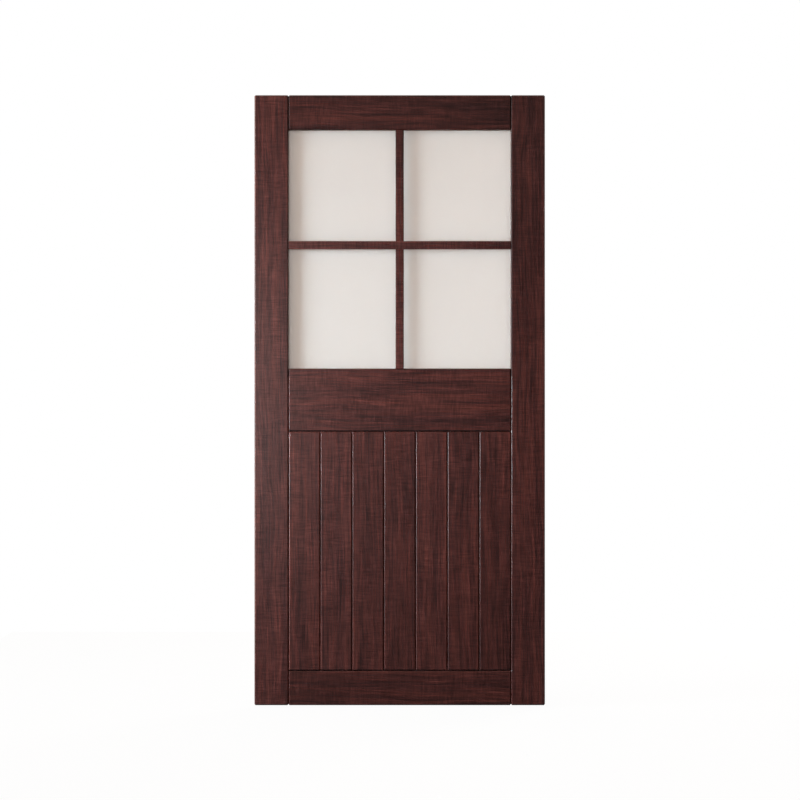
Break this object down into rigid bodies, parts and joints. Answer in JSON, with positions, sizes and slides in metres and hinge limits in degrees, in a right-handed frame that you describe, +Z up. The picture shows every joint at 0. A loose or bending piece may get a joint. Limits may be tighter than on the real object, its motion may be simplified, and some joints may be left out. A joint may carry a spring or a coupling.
{
  "type": "sliding barn door leaf",
  "caption": "Dark stained wood sliding door leaf: frosted glass behind crossed muntins above vertical V-jointed planks.",
  "frame": {"origin": "middle of the bottom edge, half way through the thickness", "axes": "+Z up along the height, +X to the right across the width as seen from the front, -Y out of the front face"},
  "size_m": [1.016, 0.035, 2.1336],
  "materials": {
    "stained_wood": "satin",
    "frosted_glass": "matte",
    "glazing_tape": "matte",
    "block_rubber": "matte",
    "pin_steel": "satin"
  },
  "bodies": {
    "root": {"stile_left": "stained_wood", "stile_right": "stained_wood", "rail_top": "stained_wood", "rail_middle": "stained_wood", "rail_bottom": "stained_wood", "plank_1": "stained_wood", "plank_2": "stained_wood", "plank_3": "stained_wood", "plank_4": "stained_wood", "plank_5": "stained_wood", "plank_6": "stained_wood", "plank_7": "stained_wood", "muntin_front_level": "stained_wood", "muntin_front_upright": "stained_wood", "muntin_back_level": "stained_wood", "muntin_back_upright": "stained_wood", "bead_top": "stained_wood", "bead_right": "stained_wood", "bead_bottom": "stained_wood", "bead_left": "stained_wood", "glass_pane": "frosted_glass", "tape_front": "glazing_tape", "tape_back": "glazing_tape", "setting_blocks": "block_rubber", "bead_pins": "pin_steel"}
  },
  "joints": []
}
